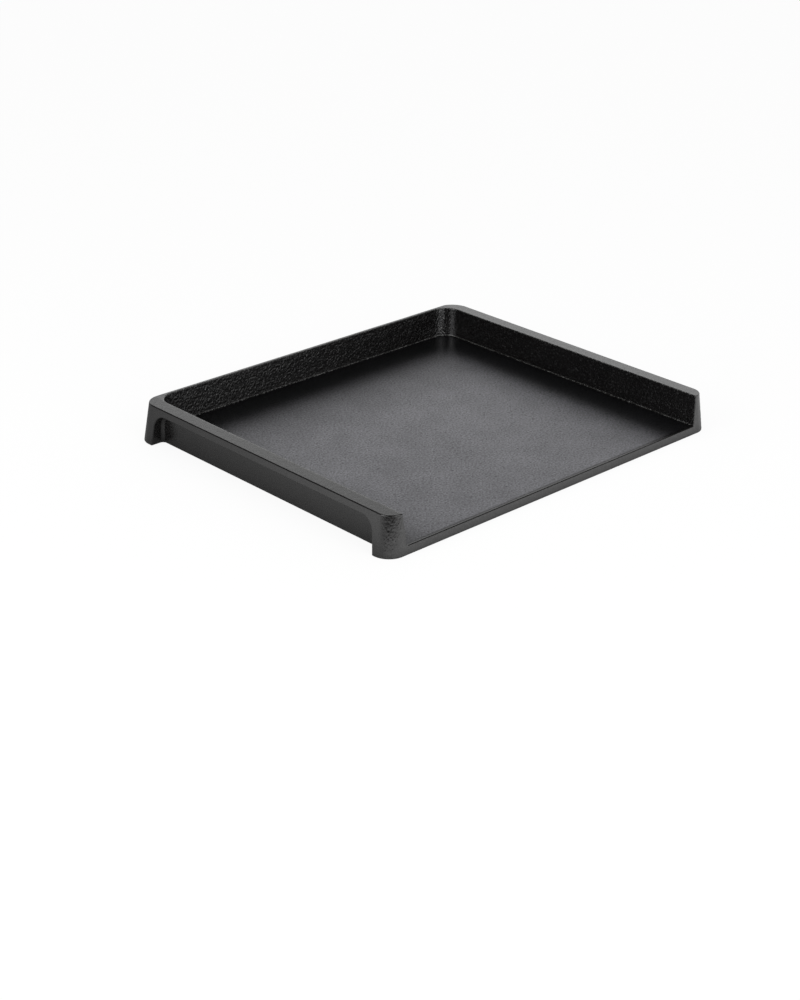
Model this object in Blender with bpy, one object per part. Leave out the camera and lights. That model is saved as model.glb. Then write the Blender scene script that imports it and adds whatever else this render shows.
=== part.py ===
"""Griddle plate: one iron casting, a flat cooking floor with three rims and an open front edge.

Metres, +Z up. X runs across the two handle rims, Y from the open front to the rear rim, and the
origin is at the middle of the underside.

The casting is drawn whole: a drafted block with round corners, less its tray, less the finger
recess under each handle rim. It is then parted on flat planes into the regions that a person
would name, so each region meets its neighbours face to face, as the iron does.
"""

import math

import bmesh
import bpy
import numpy as np

MM = 0.001

# Tray: the cooking floor and the walls round it
FLOOR_WIDTH = 306.0 * MM  # between the side walls, at the floor
FLOOR_DEPTH = 272.0 * MM  # from the front edge to the rear wall, at the floor
FLOOR_THICKNESS = 7.0 * MM
HEIGHT = 31.0 * MM
TRAY_DRAFT = math.radians(5.5)  # lean of the tray's walls, wider at the top
TRAY_CORNER_RADIUS = 14.5 * MM
CREASE_RADIUS = 1.2 * MM  # where the floor turns up into a wall

# Rims: their flat tops and their outer faces, which lean out towards the ground
HANDLE_RIM_WIDTH = 12.0 * MM
REAR_RIM_WIDTH = 3.0 * MM
SIDE_DRAFT = math.radians(8.5)
REAR_DRAFT = math.radians(3.7)
FRONT_DRAFT = math.radians(5.3)
REAR_CORNER_RADIUS = 14.5 * MM
FRONT_CORNER_TOP_RADIUS = 11.4 * MM
FRONT_CORNER_FOOT_RADIUS = 14.0 * MM
RIM_EDGE_RADIUS = 0.8 * MM
FOOT_EDGE_RADIUS = 0.8 * MM

# Finger recess under each handle rim, open below and to the side
HANDLE_THICKNESS = 6.0 * MM
RECESSED_WALL_THICKNESS = 7.3 * MM  # at the ground, from the floor's edge
FRONT_FOOT_LENGTH = 16.1 * MM  # along the side, at the ground
REAR_FOOT_LENGTH = 18.6 * MM
RECESS_CORNER_RADIUS = 11.5 * MM
RECESS_INNER_RADIUS = 3.0 * MM
RECESS_FRONT_DRAFT = math.radians(10.0)  # lean of the recess's ends, wider at the ground
RECESS_REAR_DRAFT = math.radians(3.0)
RECESS_WALL_DRAFT = math.radians(2.0)

# Facets
CORNER_FACETS = 12
RECESS_FACETS = 8
EDGE_FACETS = 3

# Modelling allowances, not sizes of the casting
OVERSHOOT = 5.0 * MM  # how far a cutting shape runs past what it cuts
PARTING_CLEARANCE = 1.0 * MM  # from a recess's round corner to the plane that parts its foot
SNAP = 2e-6  # how near a vertex lies to a parting plane to be set on it

# Finishes: colour (linear), roughness, metallic
COOKING_FINISH = ("satin seasoned iron", (0.110, 0.110, 0.118), 0.48, 0.3)
WALL_FINISH = ("sand cast iron", (0.016, 0.016, 0.016), 0.55, 0.3)
RIM_FINISH = ("fine cast iron", (0.150, 0.150, 0.152), 0.50, 0.3)
FOOT_FINISH = ("rough cast iron", (0.046, 0.044, 0.044), 0.60, 0.3)

# Worked out from the sizes above
FLOOR_HALF = FLOOR_WIDTH / 2
DRAFTED_HEIGHT = HEIGHT - FOOT_EDGE_RADIUS  # the outer faces lean above the rounded foot edge
TRAY_SPREAD = (HEIGHT - FLOOR_THICKNESS) * math.tan(TRAY_DRAFT)
FRONT_LEAD = (FLOOR_THICKNESS - FOOT_EDGE_RADIUS) * math.tan(FRONT_DRAFT)  # foot ahead of floor
REAR_THICKNESS = TRAY_SPREAD + REAR_RIM_WIDTH + DRAFTED_HEIGHT * math.tan(REAR_DRAFT)
DEPTH = FRONT_LEAD + FLOOR_DEPTH + REAR_THICKNESS
FRONT = -DEPTH / 2
REAR = DEPTH / 2
SIDE = FLOOR_HALF + TRAY_SPREAD + HANDLE_RIM_WIDTH + DRAFTED_HEIGHT * math.tan(SIDE_DRAFT)
FLOOR_FRONT = FRONT + FRONT_LEAD
FLOOR_REAR = FLOOR_FRONT + FLOOR_DEPTH
RECESS_TOP = HEIGHT - HANDLE_THICKNESS
RECESS_FRONT = FRONT + FRONT_FOOT_LENGTH
RECESS_REAR = REAR - REAR_FOOT_LENGTH
RECESSED_WALL = FLOOR_HALF + RECESSED_WALL_THICKNESS


def corner_reach(draft):
    """How far along the side a recess's end and its round corner reach, from the end at the ground."""
    return RECESS_TOP * math.tan(draft) + RECESS_CORNER_RADIUS / math.tan(math.pi / 4 + draft / 2)


# Parting planes between the named regions
PLATE_SIDE = FLOOR_HALF - CREASE_RADIUS
PLATE_REAR = FLOOR_REAR - CREASE_RADIUS
CORNER_SIDE = FLOOR_HALF - TRAY_CORNER_RADIUS
CORNER_REAR = FLOOR_REAR - TRAY_CORNER_RADIUS
FRONT_PARTING = RECESS_FRONT + corner_reach(RECESS_FRONT_DRAFT) + PARTING_CLEARANCE
REAR_PARTING = RECESS_REAR - corner_reach(RECESS_REAR_DRAFT) - PARTING_CLEARANCE


def filleted(points, radii, facets):
    """The closed outline through points, each corner with a radius turned into an arc of facets."""
    outline = []
    count = len(points)
    for i, radius in enumerate(radii):
        corner = np.array(points[i])
        if radius <= 0:
            outline.append(corner)
            continue
        before = np.array(points[i - 1]) - corner
        after = np.array(points[(i + 1) % count]) - corner
        before /= np.linalg.norm(before)
        after /= np.linalg.norm(after)
        half = math.acos(float(np.clip(before @ after, -1, 1))) / 2
        middle = before + after
        centre = corner + middle / np.linalg.norm(middle) * radius / math.sin(half)
        start = corner + before * radius / math.tan(half) - centre
        turn = math.pi - 2 * half
        side = math.copysign(1, before[1] * after[0] - before[0] * after[1])
        for step in range(facets + 1):
            angle = side * turn * step / facets
            cos, sin = math.cos(angle), math.sin(angle)
            outline.append(centre + (start[0] * cos - start[1] * sin, start[0] * sin + start[1] * cos))
    return np.array(outline)


def loft(name, rings):
    """A closed solid through rings of equal count, each an array of points, with a flat face on both ends."""
    mesh = bpy.data.meshes.new(name)
    work = bmesh.new()
    levels = [[work.verts.new(point) for point in ring] for ring in rings]
    for lower, upper in zip(levels, levels[1:]):
        for i in range(len(lower)):
            j = (i + 1) % len(lower)
            work.faces.new((lower[i], lower[j], upper[j], upper[i]))
    work.faces.new(levels[0][::-1])
    work.faces.new(levels[-1])
    bmesh.ops.recalc_face_normals(work, faces=work.faces)
    work.to_mesh(mesh)
    work.free()
    return helper(name, mesh)


def helper(name, mesh):
    """A shape used in the making, which isn't part of the casting."""
    shape = bpy.data.objects.new(name, mesh)
    bpy.context.scene.collection.objects.link(shape)
    shape.hide_render = True
    shape.display_type = "WIRE"
    return shape


def edge_steps(radius, first, last):
    """(inset, rise) along a quarter round between two angles: inset from the wall, rise from its centre."""
    steps = []
    for step in range(EDGE_FACETS + 1):
        angle = first + (last - first) * step / EDGE_FACETS
        steps.append((radius * (1 - math.cos(angle)), radius * math.sin(angle)))
    return steps


def block_outline(height, inset):
    """Plan of the whole block at a height: the outer faces, drafted, with round vertical corners."""
    climb = max(height - FOOT_EDGE_RADIUS, 0.0)
    side = SIDE - climb * math.tan(SIDE_DRAFT) - inset
    rear = REAR - climb * math.tan(REAR_DRAFT) - inset
    front = FRONT + climb * math.tan(FRONT_DRAFT) + inset
    share = climb / DRAFTED_HEIGHT
    front_radius = FRONT_CORNER_FOOT_RADIUS + (FRONT_CORNER_TOP_RADIUS - FRONT_CORNER_FOOT_RADIUS) * share
    corners = [(-side, front), (side, front), (side, rear), (-side, rear)]
    radii = [front_radius - inset] * 2 + [REAR_CORNER_RADIUS - inset] * 2
    return filleted(corners, radii, CORNER_FACETS)


def tray_outline(height, inset):
    """Plan of the tray at a height: open at the front, round at the two rear corners."""
    spread = (height - FLOOR_THICKNESS) * math.tan(TRAY_DRAFT) - inset
    side = FLOOR_HALF + spread
    rear = FLOOR_REAR + spread
    front = FRONT - OVERSHOOT
    corners = [(-side, front), (side, front), (side, rear), (-side, rear)]
    radii = [0, 0] + [TRAY_CORNER_RADIUS - inset] * 2
    return filleted(corners, radii, CORNER_FACETS)


def recess_outline(inset):
    """Side view of a finger recess, as (y, z): straight top, round upper corners, open below."""
    low = -OVERSHOOT
    high = RECESS_TOP - inset
    front_lean = math.tan(RECESS_FRONT_DRAFT)
    rear_lean = math.tan(RECESS_REAR_DRAFT)
    corners = [
        (RECESS_FRONT + inset + low * front_lean, low),
        (RECESS_FRONT + inset + high * front_lean, high),
        (RECESS_REAR - inset - high * rear_lean, high),
        (RECESS_REAR - inset - low * rear_lean, low),
    ]
    radius = RECESS_CORNER_RADIUS - inset
    return filleted(corners, [0, radius, radius, 0], RECESS_FACETS)


def at_height(outline, height):
    """A plan outline as points in space."""
    return np.column_stack([outline, np.full(len(outline), height)])


def block():
    """The drafted block, its foot edge and its top edge rounded."""
    rings = []
    for inset, rise in edge_steps(FOOT_EDGE_RADIUS, -math.pi / 2, 0):
        height = FOOT_EDGE_RADIUS + rise
        rings.append(at_height(block_outline(height, inset), height))
    for inset, rise in edge_steps(RIM_EDGE_RADIUS, 0, math.pi / 2):
        height = HEIGHT - RIM_EDGE_RADIUS + rise
        rings.append(at_height(block_outline(height, inset), height))
    return loft("block", rings)


def tray():
    """The space inside the rims, with the crease at the floor and the rounded lip at the top."""
    rings = []
    for inset, rise in edge_steps(CREASE_RADIUS, -math.pi / 2, 0):
        height = FLOOR_THICKNESS + CREASE_RADIUS + rise
        rings.append(at_height(tray_outline(height, inset), height))
    for inset, rise in edge_steps(RIM_EDGE_RADIUS, 0, math.pi / 2):
        height = HEIGHT - RIM_EDGE_RADIUS + rise
        rings.append(at_height(tray_outline(height, -inset), height))
    rings.append(at_height(tray_outline(HEIGHT, -RIM_EDGE_RADIUS), HEIGHT + OVERSHOOT))
    return loft("tray", rings)


def recess(side):
    """A finger recess, from its wall outwards; side is -1 on the left and 1 on the right."""
    rings = []
    for inset, rise in edge_steps(RECESS_INNER_RADIUS, -math.pi / 2, 0):
        outline = recess_outline(inset)
        depth = RECESSED_WALL + RECESS_INNER_RADIUS + rise + outline[:, 1] * math.tan(RECESS_WALL_DRAFT)
        rings.append(np.column_stack([side * depth, outline]))
    outline = recess_outline(0)
    rings.append(np.column_stack([np.full(len(outline), side * (SIDE + OVERSHOOT)), outline]))
    return loft("recess", rings)


def combine(shape, other, operation):
    """Cuts shape by other, or keeps what both hold, and leaves the result in shape."""
    modifier = shape.modifiers.new(operation, "BOOLEAN")
    modifier.operation = operation
    modifier.object = other
    graph = bpy.context.evaluated_depsgraph_get()
    result = bpy.data.meshes.new_from_object(shape.evaluated_get(graph))
    shape.modifiers.clear()
    shape.data = result
    bpy.data.objects.remove(other)


def casting():
    """The whole casting, before it is parted."""
    whole = block()
    combine(whole, tray(), "DIFFERENCE")
    for side in (-1, 1):
        combine(whole, recess(side), "DIFFERENCE")
    return whole


def cell(plan, low, high):
    """The space that a region takes: a plan outline, from a low to a high level."""
    outline = np.array(plan)
    return loft("cell", [at_height(outline, low), at_height(outline, high)])


def mirrored(plan):
    """A plan outline on the other side of the casting."""
    return [(-x, y) for x, y in plan]


def finish_material(finish):
    """A plain material in the finish's colour, roughness and metallic value."""
    name, colour, roughness, metallic = finish
    material = bpy.data.materials.new(name)
    material.use_nodes = True
    shader = material.node_tree.nodes["Principled BSDF"]
    shader.inputs["Base Color"].default_value = (*colour, 1.0)
    shader.inputs["Roughness"].default_value = roughness
    shader.inputs["Metallic"].default_value = metallic
    return material


def set_on_partings(mesh):
    """Puts the vertices of a cut face exactly on its parting plane, so that neighbours share it."""
    points = np.empty(len(mesh.vertices) * 3)
    mesh.vertices.foreach_get("co", points)
    points = points.reshape(-1, 3)
    partings = [(0, side * plane) for side in (-1, 1) for plane in (PLATE_SIDE, CORNER_SIDE)]
    partings += [(1, plane) for plane in (FRONT_PARTING, REAR_PARTING, CORNER_REAR, PLATE_REAR)]
    partings += [(2, plane) for plane in (0.0, FLOOR_THICKNESS, RECESS_TOP, HEIGHT)]
    for axis, plane in partings:
        near = np.abs(points[:, axis] - plane) < SNAP
        points[near, axis] = plane
    mesh.vertices.foreach_set("co", points.ravel())
    mesh.update()


def region(name, whole, plan, low, high, finish, parent):
    """One named region of the casting: what of it lies in the region's cell."""
    piece = bpy.data.objects.new(name, whole.data.copy())
    bpy.context.scene.collection.objects.link(piece)
    combine(piece, cell(plan, low, high), "INTERSECT")
    set_on_partings(piece.data)
    piece.data.name = name
    piece.data.materials.clear()
    piece.data.materials.append(finish_material(finish))
    piece.data.shade_smooth()
    piece.data.set_sharp_from_angle(angle=math.radians(25))
    piece.parent = parent
    return piece


def build():
    for old in list(bpy.data.objects):
        bpy.data.objects.remove(old, do_unlink=True)
    whole = casting()
    plate = bpy.data.objects.new("griddle_plate", None)
    bpy.context.scene.collection.objects.link(plate)

    far = SIDE + OVERSHOOT
    front, rear = FRONT - OVERSHOOT, REAR + OVERSHOOT
    ground, sky = -OVERSHOOT, HEIGHT + OVERSHOOT

    floor_plan = [
        (-PLATE_SIDE, front),
        (PLATE_SIDE, front),
        (PLATE_SIDE, CORNER_REAR),
        (CORNER_SIDE, CORNER_REAR),
        (CORNER_SIDE, PLATE_REAR),
        (-CORNER_SIDE, PLATE_REAR),
        (-CORNER_SIDE, CORNER_REAR),
        (-PLATE_SIDE, CORNER_REAR),
    ]
    region("cooking_floor", whole, floor_plan, ground, sky, COOKING_FINISH, plate)
    rear_plan = [(-CORNER_SIDE, PLATE_REAR), (CORNER_SIDE, PLATE_REAR), (CORNER_SIDE, rear), (-CORNER_SIDE, rear)]
    region("rear_rim", whole, rear_plan, ground, sky, WALL_FINISH, plate)

    side_plan = [(PLATE_SIDE, FRONT_PARTING), (far, FRONT_PARTING), (far, REAR_PARTING), (PLATE_SIDE, REAR_PARTING)]
    front_plan = [(PLATE_SIDE, front), (far, front), (far, FRONT_PARTING), (PLATE_SIDE, FRONT_PARTING)]
    corner_plan = [
        (PLATE_SIDE, REAR_PARTING),
        (far, REAR_PARTING),
        (far, rear),
        (CORNER_SIDE, rear),
        (CORNER_SIDE, CORNER_REAR),
        (PLATE_SIDE, CORNER_REAR),
    ]
    for side, turned in (("left", mirrored), ("right", list)):
        region(f"{side}_side_wall", whole, turned(side_plan), ground, RECESS_TOP, WALL_FINISH, plate)
        region(f"{side}_handle_rim", whole, turned(side_plan), RECESS_TOP, sky, RIM_FINISH, plate)
        region(f"front_{side}_corner_foot", whole, turned(front_plan), ground, sky, FOOT_FINISH, plate)
        region(f"rear_{side}_corner_foot", whole, turned(corner_plan), ground, sky, FOOT_FINISH, plate)
    bpy.data.objects.remove(whole)


build()
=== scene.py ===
"""Griddle plate: the skin of one sand-cast iron casting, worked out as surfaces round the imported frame.

Metres, +Z up. X runs across the two handle rims, Y from the open front to the rear rim. Every piece
is drawn on the right, where X is positive, and mirrored for the left. Two kinds of level outline
carry the whole casting: the tray's, round the cooking floor, and the block's, round the outside.
A row of a surface is one such outline at a height, moved in by an inset, and a column is a station
along it. The finger recess under each handle rim is a strip carried along its arched outline.
"""

import math
from itertools import product

import bpy
import numpy as np
from mathutils import Matrix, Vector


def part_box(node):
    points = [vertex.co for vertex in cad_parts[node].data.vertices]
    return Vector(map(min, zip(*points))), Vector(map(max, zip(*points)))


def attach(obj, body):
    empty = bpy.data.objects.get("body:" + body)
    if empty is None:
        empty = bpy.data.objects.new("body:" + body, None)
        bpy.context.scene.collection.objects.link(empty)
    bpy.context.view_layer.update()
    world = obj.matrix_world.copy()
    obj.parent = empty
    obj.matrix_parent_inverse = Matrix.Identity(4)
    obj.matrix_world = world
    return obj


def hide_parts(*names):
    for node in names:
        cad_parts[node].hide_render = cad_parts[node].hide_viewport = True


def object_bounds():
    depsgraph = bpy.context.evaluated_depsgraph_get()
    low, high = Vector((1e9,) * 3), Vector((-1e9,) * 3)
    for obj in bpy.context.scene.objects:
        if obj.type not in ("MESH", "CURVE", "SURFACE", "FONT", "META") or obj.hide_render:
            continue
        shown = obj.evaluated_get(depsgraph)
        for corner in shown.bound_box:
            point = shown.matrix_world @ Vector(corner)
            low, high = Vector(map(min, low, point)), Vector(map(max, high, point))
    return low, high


bl_info = {
    "name": "Griddle plate",
    "version": (1, 0, 0),
    "blender": (4, 5, 0),
    "location": "View3D > Sidebar > Griddle",
    "description": "Builds the cast surfaces, the finishes and the studio of a griddle plate",
    "category": "Add Mesh",
}

MM = 0.001

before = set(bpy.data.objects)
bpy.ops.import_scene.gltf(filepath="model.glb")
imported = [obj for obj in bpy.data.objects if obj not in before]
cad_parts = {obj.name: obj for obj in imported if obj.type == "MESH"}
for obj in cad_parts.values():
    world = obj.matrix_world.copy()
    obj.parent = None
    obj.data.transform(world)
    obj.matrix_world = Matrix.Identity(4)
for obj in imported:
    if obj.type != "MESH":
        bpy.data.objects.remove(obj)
CAD_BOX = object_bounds()

# Sizes read from the frame
SIDE = CAD_BOX[1].x
FRONT = CAD_BOX[0].y
REAR = CAD_BOX[1].y
HEIGHT = CAD_BOX[1].z
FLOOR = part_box("cooking_floor")[1].z
PLATE_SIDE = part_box("cooking_floor")[1].x
PLATE_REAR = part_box("cooking_floor")[1].y
CORNER_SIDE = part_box("rear_rim")[1].x
FRONT_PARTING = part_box("right_side_wall")[0].y
REAR_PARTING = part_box("right_side_wall")[1].y
RECESS_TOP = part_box("right_side_wall")[1].z

# Radii and drafts of the casting, which a box doesn't show
CREASE_RADIUS = 1.2 * MM
EDGE_RADIUS = 0.8 * MM  # the rims' edges, inside and outside
FOOT_EDGE_RADIUS = 0.8 * MM
LIP_RADIUS = 1.0 * MM  # the recess's outer edge
RECESS_INNER_RADIUS = 3.0 * MM
RECESS_CORNER_RADIUS = 11.5 * MM
REAR_CORNER_RADIUS = 14.5 * MM
FRONT_CORNER_TOP_RADIUS = 11.4 * MM
FRONT_CORNER_FOOT_RADIUS = 14.0 * MM
TRAY_DRAFT = math.radians(5.5)
SIDE_DRAFT = math.radians(8.5)
REAR_DRAFT = math.radians(3.7)
FRONT_DRAFT = math.radians(5.3)
RECESS_WALL_DRAFT = math.radians(2.0)
RECESS_FRONT_DRAFT = math.radians(10.0)
RECESS_REAR_DRAFT = math.radians(3.0)
FRONT_FOOT_LENGTH = 16.1 * MM
REAR_FOOT_LENGTH = 18.6 * MM

# Worked out from these
FLOOR_SIDE = PLATE_SIDE + CREASE_RADIUS
FLOOR_REAR = PLATE_REAR + CREASE_RADIUS
TRAY_CORNER_RADIUS = FLOOR_SIDE - CORNER_SIDE
CORNER_REAR = FLOOR_REAR - TRAY_CORNER_RADIUS
RECESSED_WALL = (
    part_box("right_side_wall")[1].x - RECESS_INNER_RADIUS - RECESS_TOP * math.tan(RECESS_WALL_DRAFT)
)
RIM_EDGE = HEIGHT - EDGE_RADIUS  # where the rims' edges begin to round

# Rows and columns of the surfaces, as counts of cells
CREASE_ROWS = 5
LOW_WALL_ROWS = 40  # from the crease up to the level of the recess's top
HIGH_WALL_ROWS = 12
EDGE_ROWS = 4
TOP_ROWS = 22
FACE_ROWS = 52
RECESS_WALL_ROWS = 36
FILLET_ROWS = 7
ROOF_ROWS = 12
LIP_ROWS = 5
SKIRT_ROWS = 10
SIDE_COLUMNS = 500
REAR_COLUMNS = 560
STRAIGHT_COLUMNS = 30  # beside a corner, up to the parting
CORNER_COLUMNS = 40
REAR_END_COLUMNS = 32
TRAY_STRAIGHT_COLUMNS = 22
TRAY_END_COLUMNS = 5
TRAY_TURN_COLUMNS = (
    STRAIGHT_COLUMNS + CORNER_COLUMNS + REAR_END_COLUMNS - TRAY_STRAIGHT_COLUMNS - TRAY_END_COLUMNS
)
FRONT_FACE_ROWS = 6
FLOOR_CELL = 0.95 * MM
WEDGE_ROWS = 16

# Each end of the sides, by its way: 1 to the rear and -1 to the front
PARTING = {1: REAR_PARTING, -1: FRONT_PARTING}
RECESS_END = {
    1: (RECESS_REAR_DRAFT, REAR_FOOT_LENGTH, REAR),
    -1: (RECESS_FRONT_DRAFT, FRONT_FOOT_LENGTH, FRONT),
}

WELD = 1e-6  # points nearer than this are one vertex

X = np.array([1.0, 0.0, 0.0])
Y = np.array([0.0, 1.0, 0.0])
Z = np.array([0.0, 0.0, 1.0])


def steps(first, last, count):
    """Evenly spaced values from first to last, with count cells between them."""
    return np.linspace(first, last, count + 1)


def joined(*parts):
    """Arrays end to end along their rows, each without its first row, which repeats the last one's end."""
    return np.concatenate([parts[0]] + [part[1:] for part in parts[1:]])


def mix(first, last, share):
    """Between two values or arrays, by a share from 0 to 1."""
    return first + (last - first) * share


def eased(values, low, high):
    """A smooth step: 0 up to low, 1 from high, three t squared less two t cubed between them."""
    t = np.clip((values - low) / (high - low), 0, 1)
    return t * t * (3 - 2 * t)


def unit(vectors):
    return vectors / np.linalg.norm(vectors, axis=-1, keepdims=True)


# Rows: (inset, height, turn). The turn is how far the surface's normal stands up, in quarter turns:
# 0 on a wall, 1 on a level top, -1 on the underside.


def quarter(first, last, count):
    """Evenly spaced angles in quarter turns, with their cosines and sines."""
    turn = steps(first, last, count)
    return turn, np.cos(turn * math.pi / 2), np.sin(turn * math.pi / 2)


def split(rows):
    """The rows' insets, heights and turns, each as a column."""
    return (column[:, None] for column in rows.T)


def round_rows(first, last, count, centre, radius, way=1):
    """A quarter round about a height, from one turn to another.

    The inset is the radius times one less the cosine, and a radius below 0 moves the outline out. The
    height is the centre's plus the radius's size times the sine, or less it where way is -1, in a hollow.
    """
    turn, cos, sin = quarter(first, last, count)
    return np.column_stack([radius * (1 - cos), centre + way * abs(radius) * sin, turn])


def wall_rows(low, high, count):
    """A stretch of wall between two heights."""
    height = steps(low, high, count)
    return np.column_stack([0 * height, height, 0 * height])


# The crease where the floor turns up, and the tray's wall with its lip
CREASE = round_rows(1, 0, CREASE_ROWS, FLOOR + CREASE_RADIUS, CREASE_RADIUS, -1)
LOW_TRAY = joined(CREASE, wall_rows(FLOOR + CREASE_RADIUS, RECESS_TOP, LOW_WALL_ROWS))
HIGH_TRAY = joined(
    wall_rows(RECESS_TOP, RIM_EDGE, HIGH_WALL_ROWS), round_rows(0, 1, EDGE_ROWS, RIM_EDGE, -EDGE_RADIUS)
)
TRAY = joined(LOW_TRAY, HIGH_TRAY)
# The outside, from the rim's top down
OUTER_EDGE = round_rows(1, 0, EDGE_ROWS, RIM_EDGE, EDGE_RADIUS)
FACE = wall_rows(RIM_EDGE, FOOT_EDGE_RADIUS, FACE_ROWS)
FOOT_EDGE = round_rows(0, -1, EDGE_ROWS, FOOT_EDGE_RADIUS, FOOT_EDGE_RADIUS)


def turned_up(across, turn, draft):
    """Normals from level directions across, stood up by turn and, where the wall is straight, its draft."""
    tilt = turn * math.pi / 2 + draft * (1 - np.abs(turn))
    return across * np.cos(tilt)[..., None] + Z * np.sin(tilt)[..., None]


def in_space(across, along, height):
    """Points from X, Y and Z arrays that may need stretching to one shape."""
    return np.stack(np.broadcast_arrays(across, along, height), axis=-1).astype(float)


def tray_spread(height):
    """How far the tray's walls have leaned out at a height."""
    return (height - FLOOR) * math.tan(TRAY_DRAFT)


def climb(height):
    """How far a height is above the rounded foot edge, where the outer faces begin to lean in."""
    return np.maximum(height - FOOT_EDGE_RADIUS, 0.0)


def tray_side(height, inset=0.0):
    return FLOOR_SIDE + tray_spread(height) - inset


def tray_rear(height, inset=0.0):
    return FLOOR_REAR + tray_spread(height) - inset


def block_side(height, inset=0.0):
    return SIDE - climb(height) * math.tan(SIDE_DRAFT) - inset


def block_rear(height, inset=0.0):
    return REAR - climb(height) * math.tan(REAR_DRAFT) - inset


def block_front(height, inset=0.0):
    return FRONT + climb(height) * math.tan(FRONT_DRAFT) + inset


def front_radius(height):
    """The front corner's radius, which narrows evenly from the ground to the rim."""
    return mix(FRONT_CORNER_FOOT_RADIUS, FRONT_CORNER_TOP_RADIUS, climb(height) / climb(HEIGHT))


def outline(lead, corner, radius, inset, end, angles, counts, way):
    """A level outline: a straight run from y = lead to a corner, round it, then on to x = end.

    corner is the corner's centre (x, y) for each row. The first stretch is x = centre + radius - inset,
    the second turns by angles about the centre, and the third, if it has columns, is level with the
    end of the turn. way is 1 towards the rear and -1 towards the front. Returns x, y and the level
    normals that point away from the centre, as rows by columns.
    """
    centre_x, centre_y = corner
    reach = radius - inset
    straight = steps(0, 1, counts[0])[None, :]
    turn = angles[None, 1:]
    after = steps(0, 1, counts[1])[None, 1:]
    x = [centre_x + reach + 0 * straight, centre_x + reach * np.cos(turn)]
    y = [mix(lead, centre_y, straight), centre_y + way * reach * np.sin(turn)]
    facing = [0 * straight[0], angles[1:]]
    if counts[1]:
        x.append(mix(centre_x + reach * math.cos(angles[-1]), end, after))
        y.append(centre_y + way * reach * math.sin(angles[-1]) + 0 * after)
        facing.append(angles[-1] + 0 * after[0])
    angle = np.concatenate(facing)
    normals = np.stack([np.cos(angle), way * np.sin(angle), 0 * angle], axis=-1)
    return np.concatenate(x, axis=1), np.concatenate(y, axis=1), normals


def block_rows(rows, way):
    """The block's outer surface at rows, round its rear (way 1) or front (way -1) corner."""
    inset, height, turn = split(rows)
    if way > 0:
        radius = REAR_CORNER_RADIUS
        corner = block_side(height) - radius, block_rear(height) - radius
        counts, angles = (STRAIGHT_COLUMNS, REAR_END_COLUMNS), steps(0, math.pi / 2, CORNER_COLUMNS)
        draft = REAR_DRAFT
    else:
        radius = front_radius(height)
        corner = block_side(height) - radius, block_front(height) + radius
        counts, angles = (STRAIGHT_COLUMNS, 0), steps(0, FRONT_TURN, CORNER_COLUMNS)
        draft = FRONT_DRAFT
    x, y, normals = outline(PARTING[way], corner, radius, inset, CORNER_SIDE, angles, counts, way)
    lean = SIDE_DRAFT * normals[:, 0] ** 2 + draft * normals[:, 1] ** 2
    return in_space(x, y, height), turned_up(normals[None], turn + 0 * x, lean[None])


def tray_rows(rows):
    """The tray's surface at rows, round its rear corner."""
    inset, height, turn = split(rows)
    radius = TRAY_CORNER_RADIUS
    corner = tray_side(height) - radius, tray_rear(height) - radius
    counts, angles = (TRAY_STRAIGHT_COLUMNS, TRAY_END_COLUMNS), steps(0, math.pi / 2, TRAY_TURN_COLUMNS)
    x, y, normals = outline(REAR_PARTING, corner, radius, inset, CORNER_SIDE, angles, counts, 1)
    return in_space(x, y, height), turned_up(-normals[None], turn + 0 * x, TRAY_DRAFT)


# The front corner turns until it meets the inner lip, just short of a quarter
FRONT_TURN = math.acos(
    (tray_side(HEIGHT, -EDGE_RADIUS) - block_side(HEIGHT) + FRONT_CORNER_TOP_RADIUS)
    / (FRONT_CORNER_TOP_RADIUS - EDGE_RADIUS)
)


def level_top(inner, outer):
    """The rim's flat top, ruled between the inner lip's last row and the outer edge's first."""
    share = steps(0, 1, TOP_ROWS)[1:-1, None, None]
    points = mix(inner[None], outer[None], share)
    return points, np.broadcast_to(Z, points.shape)


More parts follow.
